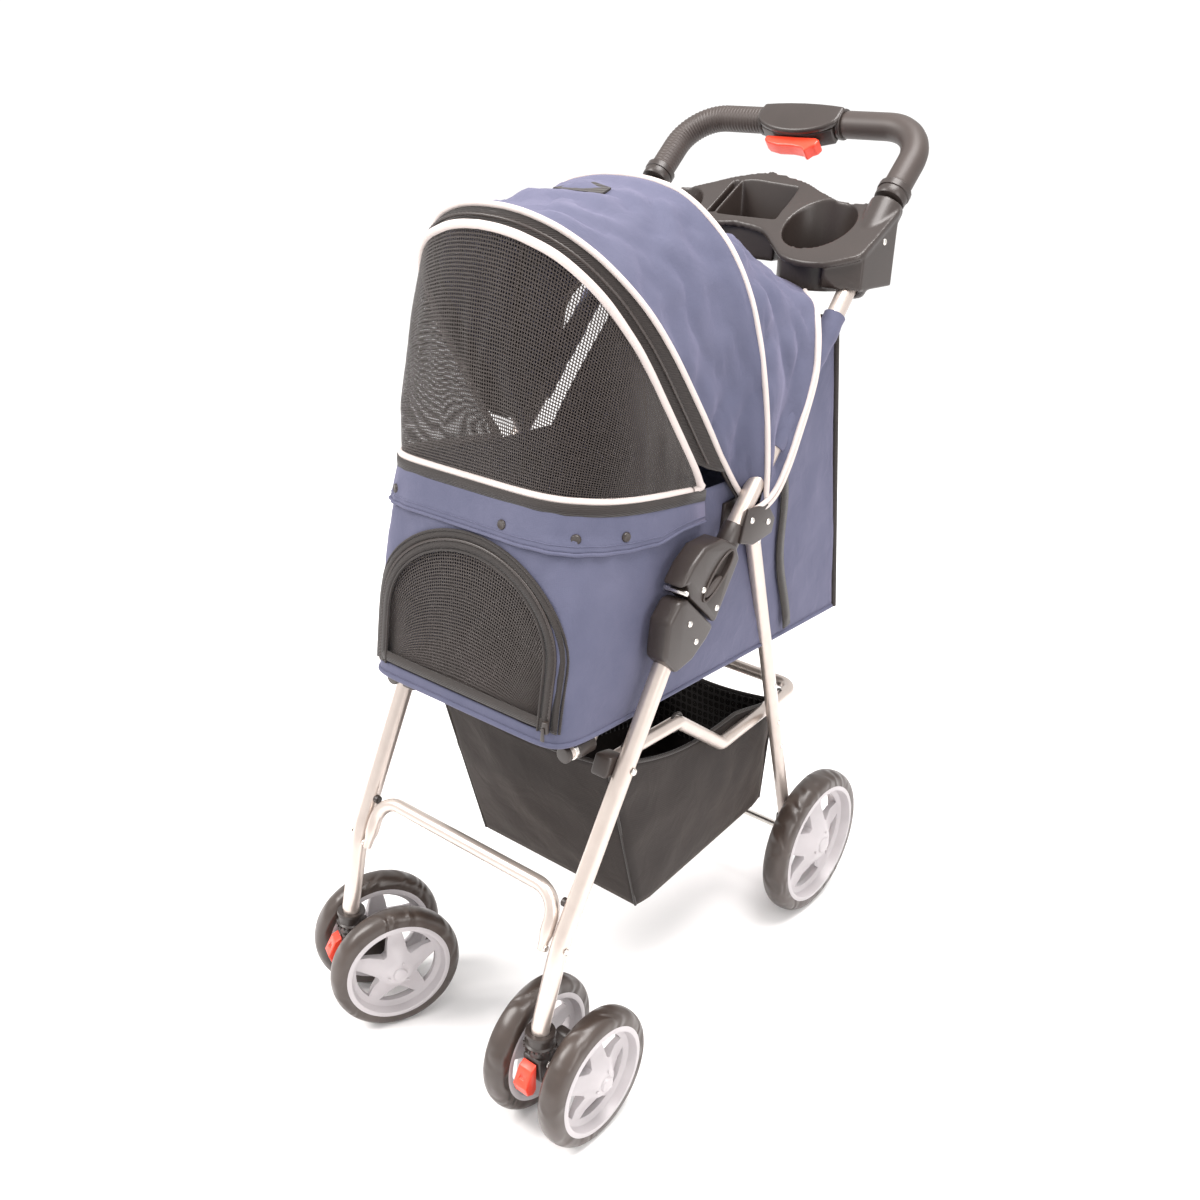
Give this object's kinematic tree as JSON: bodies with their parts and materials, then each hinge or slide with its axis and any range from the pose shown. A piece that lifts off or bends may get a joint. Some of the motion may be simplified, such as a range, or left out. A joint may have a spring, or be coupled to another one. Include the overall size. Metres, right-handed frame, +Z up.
{
  "type": "pet stroller",
  "caption": "Folding pet stroller: fabric cabin with mesh window and arched mesh door under a hooped canopy, tray handle, under-basket, swivel dual casters and spoked rear wheels.",
  "frame": {"origin": "on the ground at the middle of the stroller's footprint", "axes": "+Z up, front of the stroller (caster end) towards -Y, the stroller's right side as seen from its front view towards +X"},
  "size_m": [0.3943, 0.6749, 0.9856],
  "materials": {
    "silver_tube": "satin champagne silver",
    "dark_plastic": "moulded, satin",
    "foam_grip": "matte foam",
    "red_plastic": "moulded",
    "white_plastic": "moulded",
    "tyre_rubber": "solid EVA, satin",
    "zinc": "bright",
    "slate_fabric": "woven polyester",
    "black_fabric": "woven polyester",
    "mesh_fabric": "knit mesh",
    "board": "hardboard in black cover"
  },
  "bodies": {
    "front_frame": {"front_leg_right": "silver_tube", "front_leg_left": "silver_tube", "front_crossbar": "silver_tube", "caster_socket_right": "dark_plastic", "caster_socket_left": "dark_plastic", "lower_lock_right": "dark_plastic", "lower_lock_left": "dark_plastic", "fold_hinge_pin_right": "zinc", "fold_hinge_pin_left": "zinc"},
    "handle_frame": {"handle_tube_right": "silver_tube", "handle_tube_left": "silver_tube", "collar_right": "dark_plastic", "collar_left": "dark_plastic", "handle_bar": "silver_tube", "grip_right": "foam_grip", "grip_left": "foam_grip", "console_top": "dark_plastic", "console_base": "dark_plastic", "upper_lock_right": "dark_plastic", "upper_lock_left": "dark_plastic", "bow_bracket_right": "dark_plastic", "bow_bracket_left": "dark_plastic", "accessory_tray": "dark_plastic", "canopy": "slate_fabric"},
    "trigger": {"release_trigger": "red_plastic"},
    "mid_bow": {"canopy_mid_bow": "silver_tube"},
    "front_bow": {"canopy_front_bow": "silver_tube"},
    "rear_legs": {"rear_leg_right": "silver_tube", "rear_leg_left": "silver_tube", "rear_axle": "zinc", "axle_bracket_right": "dark_plastic", "axle_bracket_left": "dark_plastic"},
    "carriage": {"basket_frame": "silver_tube", "floor_frame": "silver_tube", "floor_board": "board", "cabin_tub": "slate_fabric", "storage_basket": "black_fabric", "cabin_cushion": "black_fabric"},
    "door": {"front_door": "mesh_fabric"},
    "window": {"mesh_window": "mesh_fabric"},
    "caster_right": {"caster_fork_right": "dark_plastic", "caster_axle_right": "zinc"},
    "swivel_lock_right_body": {"swivel_lock_right": "red_plastic"},
    "front_wheel_outer_right": {"rim_front_outer_right": "white_plastic", "tyre_front_outer_right": "tyre_rubber"},
    "front_wheel_inner_right": {"rim_front_inner_right": "white_plastic", "tyre_front_inner_right": "tyre_rubber"},
    "rear_wheel_right": {"rim_rear_right": "white_plastic", "tyre_rear_right": "tyre_rubber"},
    "brake_right": {"brake_lever_right": "red_plastic"},
    "caster_left": {"caster_fork_left": "dark_plastic", "caster_axle_left": "zinc"},
    "swivel_lock_left_body": {"swivel_lock_left": "red_plastic"},
    "front_wheel_outer_left": {"rim_front_outer_left": "white_plastic", "tyre_front_outer_left": "tyre_rubber"},
    "front_wheel_inner_left": {"rim_front_inner_left": "white_plastic", "tyre_front_inner_left": "tyre_rubber"},
    "rear_wheel_left": {"rim_rear_left": "white_plastic", "tyre_rear_left": "tyre_rubber"},
    "brake_left": {"brake_lever_left": "red_plastic"}
  },
  "joints": [
    {"name": "handle_fold", "type": "hinge", "parent": "front_frame", "child": "handle_frame", "pos_m": [0, -0.131, 0.56], "axis": [1, 0, 0], "range_deg": [0, 85], "deforming": ["canopy", "mesh_window", "cabin_tub", "front_door", "storage_basket", "cabin_cushion"]},
    {"name": "trigger_squeeze", "type": "slide", "parent": "handle_frame", "child": "trigger", "axis": [0, 0.7193, 0.6947], "range_m": [0, 0.0075], "stiffness_N_per_m": 400},
    {"name": "mid_bow_fold", "type": "hinge", "parent": "handle_frame", "child": "mid_bow", "pos_m": [0, 0.006, 0.6], "axis": [1, 0, 0], "range_deg": [-23.7, 0]},
    {"name": "front_bow_fold", "type": "hinge", "parent": "mid_bow", "child": "front_bow", "pos_m": [0, 0.006, 0.6], "axis": [1, 0, 0], "range_deg": [-10.01, 0]},
    {"name": "rear_leg_fold", "type": "hinge", "parent": "handle_frame", "child": "rear_legs", "pos_m": [0, 0.006, 0.6], "axis": [1, 0, 0], "range_deg": [-50.26, 0]},
    {"name": "basket_frame_fold", "type": "hinge", "parent": "front_frame", "child": "carriage", "pos_m": [0, -0.187, 0.39], "axis": [1, 0, 0], "range_deg": [0, 39.69]},
    {"name": "door_hinge", "type": "hinge", "parent": "carriage", "child": "door", "pos_m": [0, -0.256, 0.437], "axis": [1, 0, 0], "range_deg": [0, 110]},
    {"name": "window_hinge", "type": "hinge", "parent": "carriage", "child": "window", "pos_m": [0, -0.2275, 0.65], "axis": [1, 0, 0], "range_deg": [0, 110]},
    {"name": "caster_swivel_right", "type": "hinge", "parent": "front_frame", "child": "caster_right", "pos_m": [0.143, -0.29, 0.117], "axis": [0, 0, 1], "continuous": true},
    {"name": "swivel_lock_flip_right", "type": "hinge", "parent": "caster_right", "child": "swivel_lock_right_body", "pos_m": [0.143, -0.3038, 0.101], "axis": [1, 0, 0], "range_deg": [-10, 0]},
    {"name": "front_wheel_outer_right_spin", "type": "hinge", "parent": "caster_right", "child": "front_wheel_outer_right", "pos_m": [0.1802, -0.2515, 0.0735], "axis": [1, 0, 0], "continuous": true},
    {"name": "front_wheel_inner_right_spin", "type": "hinge", "parent": "caster_right", "child": "front_wheel_inner_right", "pos_m": [0.1058, -0.2515, 0.0735], "axis": [1, 0, 0], "continuous": true},
    {"name": "rear_wheel_right_spin", "type": "hinge", "parent": "rear_legs", "child": "rear_wheel_right", "pos_m": [0.1375, 0.24, 0.096], "axis": [1, 0, 0], "continuous": true},
    {"name": "brake_right_press", "type": "hinge", "parent": "rear_legs", "child": "brake_right", "pos_m": [0.093, 0.246, 0.113], "axis": [1, 0, 0], "range_deg": [-18, 0]},
    {"name": "caster_swivel_left", "type": "hinge", "parent": "front_frame", "child": "caster_left", "pos_m": [-0.143, -0.29, 0.117], "axis": [0, 0, 1], "continuous": true},
    {"name": "swivel_lock_flip_left", "type": "hinge", "parent": "caster_left", "child": "swivel_lock_left_body", "pos_m": [-0.14883, -0.30251, 0.101], "axis": [0.9063, -0.4226, 0], "range_deg": [-10, 0]},
    {"name": "front_wheel_outer_left_spin", "type": "hinge", "parent": "caster_left", "child": "front_wheel_outer_left", "pos_m": [-0.16044, -0.23939, 0.0735], "axis": [0.9063, -0.4226, 0], "continuous": true},
    {"name": "front_wheel_inner_left_spin", "type": "hinge", "parent": "caster_left", "child": "front_wheel_inner_left", "pos_m": [-0.09302, -0.27083, 0.0735], "axis": [0.9063, -0.4226, 0], "continuous": true},
    {"name": "rear_wheel_left_spin", "type": "hinge", "parent": "rear_legs", "child": "rear_wheel_left", "pos_m": [-0.1375, 0.24, 0.096], "axis": [1, 0, 0], "continuous": true},
    {"name": "brake_left_press", "type": "hinge", "parent": "rear_legs", "child": "brake_left", "pos_m": [-0.093, 0.246, 0.113], "axis": [1, 0, 0], "range_deg": [-18, 0]}
  ],
  "couplings": [
    {"joint": "mid_bow_fold", "follows": "handle_fold", "ratio": -0.267},
    {"joint": "front_bow_fold", "follows": "handle_fold", "ratio": -0.106},
    {"joint": "rear_leg_fold", "follows": "handle_fold", "ratio": -0.5795},
    {"joint": "basket_frame_fold", "follows": "handle_fold", "ratio": 0.4552}
  ]
}
